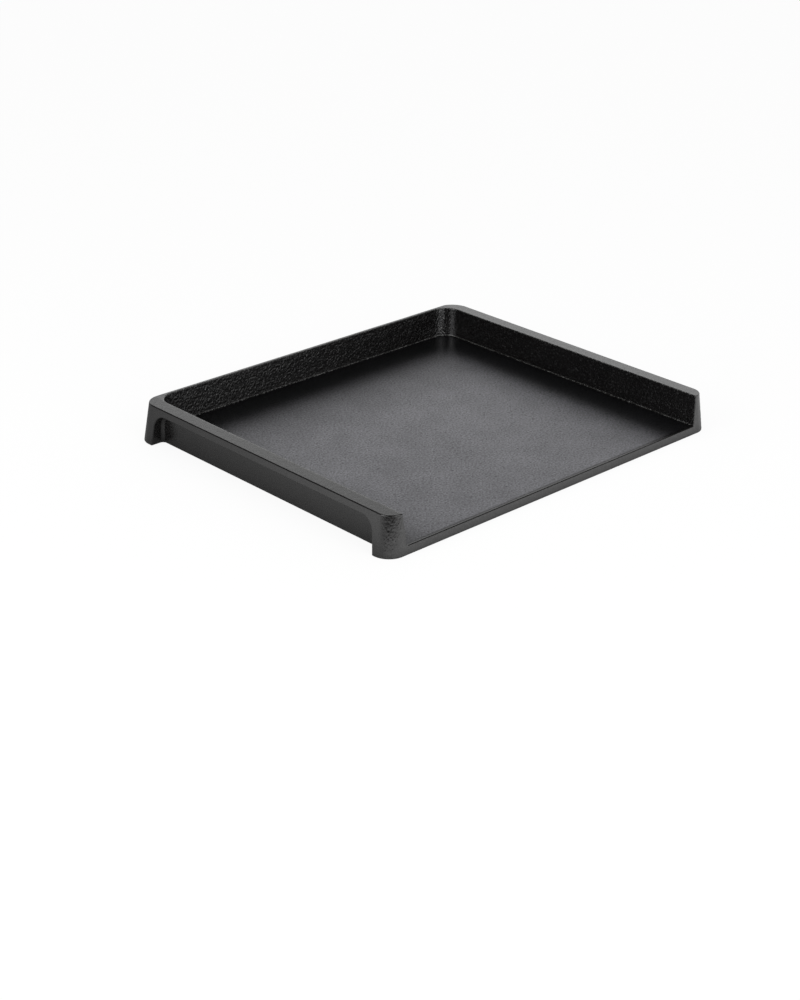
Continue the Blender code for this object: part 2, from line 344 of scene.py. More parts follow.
def flank(base, away, low, high):
    """The recess and the outer face over it, for columns along the recess's arched outline.

    For each column base is the outline's point (y, z), away the unit direction out of the opening, low
    the foot of the recessed wall and high the top of the outer face. Rows run up the recessed wall,
    round the inner fillet (a quarter circle between the wall and the roof), along the roof, round the
    lip (a quarter circle on to the outer face) and up the outer face. Returns one grid for each.
    """
    base, away, low, high = (part[None] for part in (base, away, low, high))
    away_in_space = np.concatenate([0 * away[..., :1], away], axis=-1)

    def at(across, place):
        return in_space(across(place[..., 1]), place[..., 0], place[..., 1])

    def wall(height):
        return RECESSED_WALL + height * math.tan(RECESS_WALL_DRAFT)

    def rows(turn):
        return turn[:, None]

    share = steps(0, 1, RECESS_WALL_ROWS)[:, None, None]
    place = mix(low, base - RECESS_INNER_RADIUS * away, share)
    facing = X * math.cos(RECESS_WALL_DRAFT) - Z * math.sin(RECESS_WALL_DRAFT)
    grids = [(at(wall, place), facing + 0 * at(wall, place))]

    _, cos, sin = quarter(-1, 0, FILLET_ROWS)
    place = base - RECESS_INNER_RADIUS * (1 - cos)[:, None, None] * away
    points = at(lambda height: wall(height) + RECESS_INNER_RADIUS * (1 + rows(sin)), place)
    grids.append((points, -sin[:, None, None] * X - cos[:, None, None] * away_in_space))

    share = rows(steps(0, 1, ROOF_ROWS))
    place = base + 0 * share[..., None]
    points = at(
        lambda height: mix(wall(height) + RECESS_INNER_RADIUS, block_side(height) - LIP_RADIUS, share), place
    )
    grids.append((points, -away_in_space + 0 * points))

    _, cos, sin = quarter(0, 1, LIP_ROWS)
    place = base + LIP_RADIUS * (1 - cos)[:, None, None] * away
    points = at(lambda height: block_side(height) - LIP_RADIUS * (1 - rows(sin)), place)
    grids.append((points, sin[:, None, None] * X - cos[:, None, None] * away_in_space))

    share = steps(0, 1, SKIRT_ROWS)[:, None, None]
    place = mix(base + LIP_RADIUS * away, high, share)
    facing = X * math.cos(SIDE_DRAFT) + Z * math.sin(SIDE_DRAFT)
    grids.append((at(block_side, place), facing + 0 * at(block_side, place)))
    return grids


def straight_flank(stations):
    """The flank where the recess runs straight: its outline is level with the recess's top."""
    level = np.ones(len(stations))
    base = np.column_stack([stations, RECESS_TOP * level])
    away = np.column_stack([0 * level, level])
    low = np.column_stack([stations, FOOT_EDGE_RADIUS * level])
    high = np.column_stack([stations, RIM_EDGE * level])
    return flank(base, away, low, high)


def arched_flank(way):
    """The flank round one end of a recess, from the foot's ground edge to the parting.

    The outline climbs the leaning end, turns through the arch, a circle of the corner radius, and
    runs level to the parting. The outward direction starts level and stands up evenly round the arch.
    Half way round, the columns' tops pass from the upright line where the foot's corner begins to
    the rim's edge.
    """
    draft, length, ground = RECESS_END[way]
    end = ground - way * length
    radius = RECESS_CORNER_RADIUS
    centre_z = RECESS_TOP - radius
    centre_y = end - way * (centre_z * math.tan(draft) + radius / math.cos(draft))
    leaning = (centre_z + radius * math.sin(draft) - FOOT_EDGE_RADIUS) / math.cos(draft)
    arch = radius * (math.pi / 2 - draft)
    half_way = leaning + arch / 2
    whole = leaning + arch + abs(PARTING[way] - centre_y)
    run = joined(steps(0, half_way, FACE_ROWS), steps(half_way, whole, STRAIGHT_COLUMNS))

    up = np.minimum(run, leaning)
    round_arch = np.clip(run - leaning, 0, arch) / arch
    level = np.maximum(run - leaning - arch, 0)
    angle = mix(draft, math.pi / 2, round_arch)
    height = FOOT_EDGE_RADIUS + up * math.cos(draft)
    on_end = np.column_stack([end - way * height * math.tan(draft), height])
    on_arch = np.column_stack([centre_y + way * radius * np.cos(angle), centre_z + radius * np.sin(angle)])
    base = np.where((round_arch > 0)[:, None], on_arch, on_end) - np.outer(level, [way, 0])
    lift = round_arch * math.pi / 2
    away = np.column_stack([way * np.cos(lift), np.sin(lift)])

    start = base[0, 0] - way * RECESS_INNER_RADIUS
    share = run / whole
    low = np.column_stack([mix(start, PARTING[way], share), FOOT_EDGE_RADIUS + 0 * share])
    face = block_rows(FACE[::-1], way)[0][:, STRAIGHT_COLUMNS]
    edge = block_rows(OUTER_EDGE[-1:], way)[0][0, STRAIGHT_COLUMNS::-1]
    high = joined(face, edge)[:, 1:]
    return flank(base, away, low, high)


def foot_round(curve, facing):
    """The quarter round under a level curve at the height of the foot edge's radius."""
    _, cos, sin = quarter(0, 1, EDGE_ROWS)
    cos, sin = cos[:, None, None], sin[:, None, None]
    level = unit(facing * (1, 1, 0))
    points = curve[None] - FOOT_EDGE_RADIUS * ((1 - cos) * level[None] + sin * Z)
    return points, cos * level[None] - sin * Z


def front_centres(rows, across):
    """Where the front edge's rounding is centred: a radius inside the tray's surface and the front."""
    normals = turned_up(-X[None], rows[:, 2], TRAY_DRAFT)
    height = rows[:, 1] - EDGE_RADIUS * normals[:, 2]
    return in_space(across - EDGE_RADIUS * normals[:, 0], block_front(height) + EDGE_RADIUS, height), normals


def front_facing():
    return -Y * math.cos(FRONT_DRAFT) + Z * math.sin(FRONT_DRAFT)


def front_round(centres, normals):
    """The quarter round from the tray's surface over to the front face, as rows by columns."""
    _, cos, sin = quarter(0, 1, EDGE_ROWS)
    facing = unit(cos[None, :, None] * normals[:, None] + sin[None, :, None] * front_facing())
    return centres[:, None] + EDGE_RADIUS * facing, facing


# Relief of the cast surface

# How far up a normal points, from a wall to a level face, and past the two ends of the crease
UPRIGHT = (0.35, 0.95)
CREASE_TOP = (-0.1, 0.2)
CREASE_FOOT = (0.97, 0.9999)
# Where the outside begins: past the tray's side, past its rear and back from the front
SIDE_BRINK = (2 * MM, 4 * MM)
REAR_BRINK = (1 * MM, 2 * MM)
FRONT_BRINK = (3 * MM, 4.5 * MM)
POST_END = (5 * MM, 12 * MM)  # back from the front
# The crease's painted highlight: the level of its middle, and how far it reaches over and under that
CREASE_MIDDLE = FLOOR + 0.35 * MM
CREASE_BAND = (0.15 * MM, 0.5 * MM)  # over and under the middle
# Floor faces below this level take the painted shade along the walls
FLOOR_SHADE_TOP = FLOOR + 0.1 * MM
LIP_BAND = (0.5 * MM, 1.1 * MM)  # the painted highlight along the rims' inner edges
EDGE_BAND = (-EDGE_RADIUS - 0.25 * MM, -EDGE_RADIUS)  # where the worn top stops short of the outer edges, leaving a black line along them: the iron's own black, partly painted shade beside the edge's real darkening
RIGHT_EDGE_LIGHT = 1.2 * MM  # how much further the right rim's pale top goes, over its outer edge: painted light where the edge would show dark
RIM_BAND = 1 * MM  # how far under the rims' edges the relief begins to sink

GRAIN_STRETCH = np.array([1.0, 1.0, 0.85])  # the sand's lumps stand a little taller than they are wide
NOISE_TABLE = 8192
NOISE_PRIMES = (73856093, 19349663, 83492791)


def lattice(points, size, seed):
    """Smooth noise between -1 and 1, and its slope.

    Each corner of a lattice of cubes of the given size has a random value. Between the corners the
    value is their mean, each weighted by the product over the axes of six t to the fifth, less
    fifteen t to the fourth, plus ten t cubed.
    """
    table = np.random.default_rng(seed).uniform(-1, 1, NOISE_TABLE)
    cell = points / size
    base = np.floor(cell).astype(np.int64)
    t = cell - base
    fade = t**3 * (t * (6 * t - 15) + 10)
    rise = 30 * t**2 * (t - 1) ** 2
    value = np.zeros(len(points))
    slope = np.zeros_like(points)
    for corner in product((0, 1), repeat=3):
        key = (base + corner) * NOISE_PRIMES
        height = table[(key[:, 0] ^ key[:, 1] ^ key[:, 2]) % NOISE_TABLE]
        share = np.where(corner, fade, 1 - fade)
        change = np.where(corner, rise, -rise)
        value += height * share.prod(axis=1)
        for axis in range(3):
            others = share[:, [other for other in range(3) if other != axis]].prod(axis=1)
            slope[:, axis] += height * change[:, axis] * others
    return value, slope / size


def past(across, along, side, end, radius):
    """How far points lie outside a level outline: past its round corner's centre, less the radius."""
    return np.hypot(np.maximum(across - side + radius, 0), np.maximum(along - end + radius, 0)) - radius


def worn_top_and_edge_light(across, along, level, right):
    """How far points lie on the rims' worn tops, as a share: not on the edge along the block's outline.

    right is X itself, because on the right rim the pale top goes on over its outer edge, a painted light
    where the edge would show dark.
    """
    brink = np.maximum(
        past(across, along, block_side(HEIGHT), block_rear(HEIGHT), REAR_CORNER_RADIUS),
        past(across, -along, block_side(HEIGHT), -block_front(HEIGHT), FRONT_CORNER_TOP_RADIUS),
    )
    brink -= RIGHT_EDGE_LIGHT * eased(right, CORNER_SIDE, SIDE)
    return eased(level, RIM_EDGE, HEIGHT) * (1 - eased(brink, *EDGE_BAND))


def relief(points, normals, form):
    """The finish, the height of the cast surface over its true shape, and the slope of that height.

    Upright faces carry the sand's grain, coarse inside the tray and on the front posts and faint on
    the skirts. Level faces are ground finer. All swell gently over a few centimetres, and the
    underside is flat. The height is a sum of lattice noises, each times its own height. Where a face
    bounds the casting, the relief only takes away, so nothing stands proud of the frame.

    The finish is four shares for the materials: sand grain, the painted highlights along the crease
    and the lips, wear with painted light, and one spare. Wear is full on the rims' tops; on the cooking
    floor the same share grows with the distance from the walls, lifting the painted shade along them,
    and on the posts it brings out painted glints.
    """
    across, along, level = np.abs(points[:, 0]), points[:, 1], points[:, 2]
    up = normals[:, 2]
    upright = 1 - eased(np.abs(up), *UPRIGHT)
    outside = np.maximum(
        eased(across - tray_side(HEIGHT), *SIDE_BRINK), eased(along - tray_rear(HEIGHT), *REAR_BRINK)
    )
    outside = np.maximum(outside, 1 - eased(along - FRONT, *FRONT_BRINK))
    post = 1 - eased(along - FRONT, *POST_END)
    top = worn_top_and_edge_light(across, along, level, points[:, 0])

    rough = upright * mix(1.0, mix(form.skirt_share, form.post_share, post), outside)
    # Painted highlights: a pale line along the crease and along the rims' inner edges, where their rounds
    # would catch the light
    crease = (1 - outside) * (1 - eased(np.abs(level - CREASE_MIDDLE), *CREASE_BAND))
    crease *= eased(up, *CREASE_TOP) * (1 - eased(up, *CREASE_FOOT))
    lip = past(across, along, tray_side(HEIGHT), tray_rear(HEIGHT), TRAY_CORNER_RADIUS) - EDGE_RADIUS
    pale = np.maximum(crease, form.lip_painted_highlight * top * (1 - eased(lip, *LIP_BAND)))
    # Painted shade on the cooking floor: this share falls from the middle towards the rear and side walls,
    # where the walls block the light that the floor reflects
    room = np.minimum(
        (tray_rear(FLOOR) - along) / form.floor_shade_rear, (tray_side(FLOOR) - across) / form.floor_shade_side
    )
    unshaded_floor = np.clip(room, 0, 1) * (level < FLOOR_SHADE_TOP) * (1 - outside)
    # The wear share: the rims' worn tops, the floor clear of its painted shade, and painted glints on the
    # posts' grain
    wear_and_painted_light = np.maximum(np.maximum(top, unshaded_floor), form.post_painted_glints * post * upright * outside)
    finish_and_painted_light = np.column_stack([rough, pale, wear_and_painted_light, np.ones(len(points))]).astype(np.float32)

    lifted = eased(level, 0.0, FOOT_EDGE_RADIUS)
    sunk = np.maximum(outside, eased(level, RIM_EDGE - RIM_BAND, HEIGHT))
    inside = mix(1.0, form.side_share, normals[:, 0] ** 2)
    sand = form.sand_height * rough * mix(inside, 1.0, outside)
    # Each layer's size, height and seed: the sand's lumps at three sizes, the ground grain and the swell
    layers = (
        (form.sand_size, sand * (1 - 0.3 * post), 11),
        (form.sand_size * 0.7, sand * 0.6, 12),
        (form.sand_size * 2.6, sand * 0.2 * (1 - post), 13),
        (form.floor_grain_size, form.floor_grain_height * (1 - upright), 14),
        (form.swell_size, form.swell_height + 0 * rough, 15),
    )
    height = np.zeros(len(points))
    slope = np.zeros_like(points)
    for size, amount, seed in layers:
        value, rise = lattice(points * GRAIN_STRETCH, size, seed)
        height += amount * lifted * (value - sunk)
        slope += (amount * lifted)[:, None] * rise * GRAIN_STRETCH
    # The rims' tops fall gently outwards
    fall = top * math.tan(form.top_fall)
    height -= fall * np.maximum(across - tray_side(HEIGHT), 0)
    slope[:, 0] -= fall * np.sign(points[:, 0]) * (across > tray_side(HEIGHT))
    return finish_and_painted_light, height, slope


class Skin:
    """A closed mesh in the making: grids of points with their normals, and flat polygons."""

    def __init__(self):
        self.points, self.normals, self.quads, self.polygons = [], [], [], []
        self.count = 0

    def grid(self, points, normals):
        """Quads between neighbouring rows and columns."""
        rows, columns = points.shape[:2]
        index = self.count + np.arange(rows * columns).reshape(rows, columns)
        area = np.cross(points[1:, 1:] - points[:-1, :-1], points[1:, :-1] - points[:-1, 1:])
        corners = (index[:-1, :-1], index[:-1, 1:], index[1:, 1:], index[1:, :-1])
        corners = corners if (area * (normals + 0 * points)[1:, 1:]).sum() > 0 else corners[::-1]
        self.quads.append(np.stack(corners, axis=-1).reshape(-1, 4))
        self.points.append(points.reshape(-1, 3))
        self.normals.append((normals + 0 * points).reshape(-1, 3))
        self.count += rows * columns

    def tube(self, points, normals):
        """A grid whose last row goes on to its first, with a flat cap on both ends."""
        self.grid(np.concatenate([points, points[:1]]), np.concatenate([normals, normals[:1]]))
        ends = points[:, 0], points[:, -1]
        outward = (ends[0].mean(axis=0) - ends[1].mean(axis=0)) * (1, 1, 0)
        self.polygon([ends[0]], outward)
        self.polygon([ends[1]], -outward)

    def polygon(self, parts, outward):
        """One flat face round the points of parts, end to end, whose normal is along outward."""
        ring = np.concatenate([np.atleast_2d(part) for part in parts])
        self.polygons.append((self.count + np.arange(len(ring)), unit(np.array(outward, float))))
        self.points.append(ring)
        self.normals.append(np.zeros_like(ring))
        self.count += len(ring)

    def mesh(self, name, form, mirrored):
        """Welds what meets, raises the relief and makes the mesh, with the true surface's normals."""
        points = np.concatenate(self.points)
        normals = np.concatenate(self.normals)
        side = np.array([-1.0 if mirrored else 1.0, 1.0, 1.0])
        _, first, index = np.unique(
            np.round(points / WELD).astype(np.int64), axis=0, return_index=True, return_inverse=True
        )
        index = index.ravel()
        shared = np.zeros((len(first), 3))
        np.add.at(shared, index, normals)
        shared = unit(shared + 1e-12) * side
        points = points[first] * side
        quads = index[np.concatenate(self.quads)]
        quads = quads[:, ::-1] if mirrored else quads
        finish_and_painted_light, height, slope = relief(points, shared, form)
        slope -= (slope * shared).sum(axis=1)[:, None] * shared
        raised = points + height[:, None] * shared
        smooth = unit(shared - slope)

        kept = quads != np.roll(quads, 1, axis=1)
        corners = kept.sum(axis=1)
        whole, thin = corners == 4, corners == 3
        loops = [quads[whole].ravel(), quads[thin][kept[thin]]]
        loop_normals = [smooth[part] for part in loops]
        sizes = [np.full(whole.sum(), 4), np.full(thin.sum(), 3)]
        for ring, outward in self.polygons:
            ring = index[ring]
            ring = ring[ring != np.roll(ring, 1)]
            outward = outward * side
            around = points[ring]
            area = np.cross(around, np.roll(around, -1, axis=0)).sum(axis=0)
            loops.append(ring if area @ outward > 0 else ring[::-1])
            loop_normals.append(np.tile(outward, (len(ring), 1)))
            sizes.append([len(ring)])
        return made_mesh(name, raised, finish_and_painted_light, loops, sizes, loop_normals)


def made_mesh(name, points, finish_and_painted_light, loops, sizes, loop_normals):
    """A mesh from its points and its faces' corners, with its finish and a normal at each corner."""
    mesh = bpy.data.meshes.new(name)
    corners = np.concatenate(loops)
    counts = np.concatenate(sizes)
    mesh.vertices.add(len(points))
    mesh.vertices.foreach_set("co", points.astype(np.float32).ravel())
    mesh.loops.add(len(corners))
    mesh.loops.foreach_set("vertex_index", corners.astype(np.int32))
    mesh.polygons.add(len(counts))
    mesh.polygons.foreach_set("loop_start", np.concatenate([[0], counts.cumsum()[:-1]]).astype(np.int32))
    mesh.update(calc_edges=True)
    mesh.validate()
    mesh.shade_smooth()
    mesh.attributes.new("finish_and_painted_light", "FLOAT_COLOR", "POINT").data.foreach_set("color", finish_and_painted_light.ravel())
    mesh.normals_split_custom_set(np.concatenate(loop_normals))
    mesh.update()
    return mesh


# The tray's faces, for their material: their levels over the floor, and how far back from the front
TRAY_DEPTH = -0.3 * MM
FLOOR_TOP = 0.5 * MM
FLOOR_FACING = 0.9  # how far up a floor face's normal points
FRONT_STRIP = 2 * MM


def placed(name, mesh, node, materials):
    """The finished piece, riding on the frame in place of its CAD node.

    materials are three: the cooking floor's, the tray walls' and the outside's.
    """
    piece = bpy.data.objects.new(name, mesh)
    bpy.context.scene.collection.objects.link(piece)
    facing = np.empty(3 * len(mesh.polygons), dtype=np.float32)
    middle = np.empty_like(facing)
    mesh.polygons.foreach_get("normal", facing)
    mesh.polygons.foreach_get("center", middle)
    across, along, level = np.abs(middle[0::3]), middle[1::3], middle[2::3]
    in_tray = past(across, along, tray_side(HEIGHT), tray_rear(HEIGHT), TRAY_CORNER_RADIUS) < 0
    in_tray &= (level > FLOOR + TRAY_DEPTH) & (along > FRONT + FRONT_STRIP)
    on_floor = in_tray & (level < FLOOR + FLOOR_TOP) & (facing[2::3] > FLOOR_FACING)
    kinds, index = np.unique(np.select([on_floor, in_tray], [0, 1], 2), return_inverse=True)
    for kind in kinds:
        mesh.materials.append(materials[kind])
    mesh.polygons.foreach_set("material_index", index.astype(np.int32))
    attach(piece, "root")
    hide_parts(node)
    return piece


# The pieces' skins


def straight_rows(rows, stations, reach, facing, draft):
    """Rows carried straight along stations, on a face that points along X or Y at reach from the middle."""
    inset, height, turn = split(rows)
    out = reach(height, inset)
    across, along = (stations[None], out) if facing[1] else (out, stations[None])
    return in_space(across, along, height), turned_up(facing, turn + 0 * stations[None], draft)


def side_tray(rows, stations):
    return straight_rows(rows, stations, tray_side, -X, TRAY_DRAFT)


def ground_row(across, along):
    """A row on the ground, under the parting planes."""
    points = in_space(across, along, 0.0)[None]
    return points, -Z + 0 * points


def stacked(*grids):
    """Grids one above another; where a grid starts with the row the last one ended on, it is kept once."""
    points, normals = [grids[0][0]], [grids[0][1] + 0 * grids[0][0]]
    for more_points, more_normals in grids[1:]:
        repeats = np.abs(more_points[0] - points[-1][-1]).max() < WELD
        first = 1 if repeats else 0
        points.append(more_points[first:])
        normals.append((more_normals + 0 * more_points)[first:])
    return np.concatenate(points), np.concatenate(normals)


def backwards(grid):
    return grid[0][::-1], grid[1][::-1]


def side_stations():
    return steps(FRONT_PARTING, REAR_PARTING, SIDE_COLUMNS)


def side_wall_skin():
    """The wall under a handle rim: crease and tray wall inside, fillet and recessed wall outside."""
    stations = side_stations()
    wall, fillet = straight_flank(stations)[:2]
    under = foot_round(wall[0][0], wall[1][0])
    skin = Skin()
    ground = ground_row(PLATE_SIDE, stations)
    skin.tube(*stacked(side_tray(LOW_TRAY, stations), backwards(fillet), backwards(wall), under, ground))
    return skin


def handle_rim_skin():
    """A handle rim: the tray's wall and lip, the top, the outer edge, the skirt and the recess's roof."""
    stations = side_stations()
    _, _, roof, lip, skirt = straight_flank(stations)
    tray = side_tray(HIGH_TRAY, stations)
    edge = straight_rows(OUTER_EDGE, stations, block_side, X, SIDE_DRAFT)
    top = level_top(tray[0][-1], edge[0][0])
    skin = Skin()
    skin.tube(*stacked(tray, top, edge, backwards(skirt), backwards(lip), backwards(roof)))
    return skin


def rear_rim_skin():
    """The rear rim between its corners: the same rows as the corners, carried across."""
    stations = steps(CORNER_SIDE, -CORNER_SIDE, REAR_COLUMNS)
    tray = straight_rows(TRAY, stations, tray_rear, -Y, TRAY_DRAFT)
    face = straight_rows(joined(OUTER_EDGE, FACE, FOOT_EDGE), stations, block_rear, Y, REAR_DRAFT)
    skin = Skin()
    top = level_top(tray[0][-1], face[0][0])
    skin.tube(*stacked(tray, top, face, ground_row(stations, PLATE_REAR)))
    return skin


def front_foot_skin():
    """A rim's front end and foot: the quarter-round post, the rounded edges and the recess's end."""
    edge = block_rows(OUTER_EDGE, -1)
    face = block_rows(FACE, -1)
    face = face[0][:, STRAIGHT_COLUMNS:], face[1][:, STRAIGHT_COLUMNS:]
    centres, facing = front_centres(TRAY, tray_side(TRAY[:, 1], TRAY[:, 0]))
    over = front_round(centres, facing)
    # The lip's rows end on the outer edge's last column, so that three round edges meet in one corner
    lip = slice(-EDGE_ROWS - 1, None)
    round_lip = steps(0, math.pi / 2, EDGE_ROWS)
    level = -np.cos(round_lip)[:, None] * X - np.sin(round_lip)[:, None] * Y
    over[1][lip] = turned_up(level[None], TRAY[lip, 2:] + 0 * round_lip[None], TRAY_DRAFT)
    over[0][lip] = centres[lip, None] + EDGE_RADIUS * over[1][lip]
    over[0][lip, -1] = edge[0][::-1, -1]
    over[0][-1] = edge[0][0, -1]

    share = steps(0, 1, STRAIGHT_COLUMNS + CORNER_COLUMNS)[None]
    along = mix(FRONT_PARTING, over[0][:, :1, 1], share)
    tray = in_space(over[0][:, :1, 0], along, over[0][:, :1, 2])
    tray = tray, turned_up(-X, TRAY[:, 2:] + 0 * share, TRAY_DRAFT)
    top = level_top(tray[0][-1], edge[0][0])

    turned = over[0][: -EDGE_ROWS, -1][::-1]
    spare = len(turned) - 1 - FACE_ROWS
    corner = face[0][-1, -1]
    below = in_space(steps(corner[0], PLATE_SIDE, spare)[1:], corner[1], corner[2])
    post = np.concatenate([face[0][:, -1], below])
    share = steps(0, 1, FRONT_FACE_ROWS)[:, None, None]
    front = mix(turned[None], post[None], share)

    flanks = arched_flank(-1)
    skin = Skin()
    skin.grid(*stacked(tray, top, edge))
    skin.grid(*face)
    skin.grid(*over)
    skin.grid(front, front_facing())
    for grid in flanks:
        skin.grid(*grid)

    end = [(grid[0][:, 0], grid[1][:, 0]) for grid in flanks[:0:-1]]
    curve = [below[::-1], face[0][-1, ::-1]] + [points[::-1] for points, _ in end] + [flanks[0][0][0]]
    facing = [-Y + 0 * below, face[1][-1, ::-1]] + [normals[::-1] for _, normals in end] + [flanks[0][1][0]]
    under = foot_round(np.concatenate(curve), np.concatenate(facing))
    skin.grid(*under)
    foot = np.array([PLATE_SIDE, FRONT_PARTING, 0.0])
    section = [tray[0][:, 0], top[0][:, 0], edge[0][:, 0]]
    section += [grid[0][::-1, -1] for grid in flanks[::-1]] + [under[0][:, -1], foot]
    skin.polygon(section, Y)
    skin.polygon([tray[0][0], over[0][0], front[:, -1], under[0][:, 0], foot], -X)
    skin.polygon([under[0][-1], foot], -Z)
    return skin


def rear_foot_skin():
    """A rear corner and foot: the tray's and the block's outlines carried round, and the recess's end."""
    tray = tray_rows(TRAY)
    edge = block_rows(OUTER_EDGE, 1)
    face = block_rows(FACE, 1)
    face = face[0][:, STRAIGHT_COLUMNS:], face[1][:, STRAIGHT_COLUMNS:]
    top = level_top(tray[0][-1], edge[0][0])
    turn = tray[0][0, TRAY_STRAIGHT_COLUMNS : TRAY_STRAIGHT_COLUMNS + TRAY_TURN_COLUMNS + 1]
    pole = np.array([CORNER_SIDE, CORNER_REAR, FLOOR])
    wedge = mix(pole, turn[None], steps(0, 1, WEDGE_ROWS)[:, None, None])

    flanks = arched_flank(1)
    skin = Skin()
    skin.grid(*stacked(tray, top, edge))
    skin.grid(*face)
    skin.grid(wedge, Z)
    for grid in flanks:
        skin.grid(*grid)

    end = [(grid[0][:, 0], grid[1][:, 0]) for grid in flanks[1:]]
    curve = [flanks[0][0][0, ::-1]] + [points for points, _ in end] + [face[0][-1]]
    facing = [flanks[0][1][0, ::-1]] + [normals for _, normals in end] + [face[1][-1]]
    under = foot_round(np.concatenate(curve), np.concatenate(facing))
    skin.grid(*under)
    parted = np.array([PLATE_SIDE, REAR_PARTING, 0.0])
    notch = np.array([PLATE_SIDE, CORNER_REAR, 0.0])
    below_pole = pole * (1, 1, 0)
    section = [tray[0][:, 0], top[0][:, 0], edge[0][:, 0]]
    section += [grid[0][::-1, -1] for grid in flanks[::-1]] + [under[0][:, 0], parted]
    skin.polygon(section, -Y)
    skin.polygon([tray[0][0, : TRAY_STRAIGHT_COLUMNS + 1], notch, parted], -X)
    skin.polygon([wedge[::-1, 0], below_pole, notch], -Y)
    last = [wedge[:, -1], tray[0][:, -1], top[0][:, -1], edge[0][:, -1], face[0][:, -1], under[0][:, -1]]
    skin.polygon(last + [below_pole], -X)
    skin.polygon([under[0][-1], below_pole, notch, parted], -Z)
    return skin


def cooking_floor_skin():
    """The cooking floor: a level top, the rounded front edge, the front face and the flat underside."""

    def lines(*stops):
        cells = [max(1, round((b - a) / FLOOR_CELL)) for a, b in zip(stops, stops[1:])]
        return joined(*(steps(a, b, n) for a, b, n in zip(stops, stops[1:], cells)))

    across = lines(-PLATE_SIDE, -CORNER_SIDE, CORNER_SIDE, PLATE_SIDE)
    start = np.array([[CREASE_RADIUS, FLOOR, 1.0]])
    centres, facing = front_centres(start, np.array([PLATE_SIDE]))
    over, over_facing = (part[0] for part in front_round(centres, facing))
    along = lines(over[0, 1], CORNER_REAR)[::-1]
    main = in_space(across[None], along[:, None], FLOOR)
    rear = in_space(
        across[None, np.abs(across) < CORNER_SIDE + WELD], lines(CORNER_REAR, PLATE_REAR)[:, None], FLOOR
    )
    low = np.array([PLATE_SIDE, FRONT, FOOT_EDGE_RADIUS])
    front = mix(over[-1], low, steps(0, 1, FRONT_FACE_ROWS)[:, None])

    def carried(profile, facing):
        points = in_space(across[None], profile[:, None, 1], profile[:, None, 2])
        return points, facing[:, None] + 0 * points

    under, under_facing = foot_round(low[None], -Y[None])
    skin = Skin()
    skin.grid(main, Z)
    skin.grid(rear, Z)
    edge = carried(over, over_facing)
    face = carried(front, front_facing() + 0 * front)
    foot = carried(under[:, 0], under_facing[:, 0])
    skin.grid(*stacked(edge, face, foot))

    def below(across, along):
        return np.array([across, along, 0.0])

    for column, side in ((0, -1), (-1, 1)):
        plate, corner = side * PLATE_SIDE, side * CORNER_SIDE
        rim = [grid[:, column] for grid in (main, edge[0], face[0], foot[0])]
        skin.polygon(rim + [below(plate, CORNER_REAR)], side * X)
        notch = main[0, side * across >= CORNER_SIDE - WELD]
        notch = notch if side < 0 else notch[::-1]
        skin.polygon([notch, below(corner, CORNER_REAR), below(plate, CORNER_REAR)], Y)
        skin.polygon([rear[:, column], below(corner, PLATE_REAR), below(corner, CORNER_REAR)], side * X)
    skin.polygon([rear[-1], below(CORNER_SIDE, PLATE_REAR), below(-CORNER_SIDE, PLATE_REAR)], Y)
    ground = [foot[0][-1], below(PLATE_SIDE, CORNER_REAR), below(CORNER_SIDE, CORNER_REAR)]
    ground += [below(CORNER_SIDE, PLATE_REAR), below(-CORNER_SIDE, PLATE_REAR)]
    ground += [below(-CORNER_SIDE, CORNER_REAR), below(-PLATE_SIDE, CORNER_REAR)]
    skin.polygon(ground, -Z)
    return skin


# Materials


def linear(hex_colour):
    """An sRGB hex colour as linear red, green and blue."""
    values = (int(hex_colour[i : i + 2], 16) / 255 for i in (1, 3, 5))
    return tuple(v / 12.92 if v <= 0.04045 else ((v + 0.055) / 1.055) ** 2.4 for v in values)


def plug(tree, socket, value):
    """Sets an input or links an output to it. A node stands for its first output that is in use."""
    if isinstance(value, bpy.types.Node):
        value = next(output for output in value.outputs if output.enabled)
    if isinstance(value, bpy.types.NodeSocket):
        tree.links.new(value, socket)
    else:
        socket.default_value = value


def node(tree, kind, settings=None, **inputs):
    """Adds one shader node, with its settings and its inputs' values or links.

    An input is named by its name, or by _ and its number. From and To take both ends of a range.
    """
    added = tree.nodes.new(f"ShaderNode{kind}")
    for name, value in (settings or {}).items():
        setattr(added, name, value)
    for name, value in inputs.items():
        if name in ("From", "To"):
            added.inputs[f"{name} Min"].default_value, added.inputs[f"{name} Max"].default_value = value
        else:
            plug(tree, added.inputs[int(name[1:]) if name[0] == "_" else name], value)
    return added


# Settings that many nodes share
ADD, SUBTRACT, MULTIPLY, MAXIMUM, ABSOLUTE, DOT_PRODUCT, SCALE = (
    {"operation": name}
    for name in ("ADD", "SUBTRACT", "MULTIPLY", "MAXIMUM", "ABSOLUTE", "DOT_PRODUCT", "SCALE")
)
COLOUR = {"data_type": "RGBA"}
SMOOTH = {"interpolation_type": "SMOOTHSTEP"}

# Each noise's size, detail and roughness. Grains near 1 mm are coarser than real sand, to show
SAND_NOISES = ((1.1 * MM, 3.0, 0.65), (2.5 * MM, 3.0, 0.6), (1.5 * MM, 2.0, 0.6), (25 * MM, 4.0, 0.55))
GROUND_NOISES = ((1.4 * MM, 2.0, 0.6), (2.4 * MM, 2.0, 0.5), (25 * MM, 4.0, 0.55))
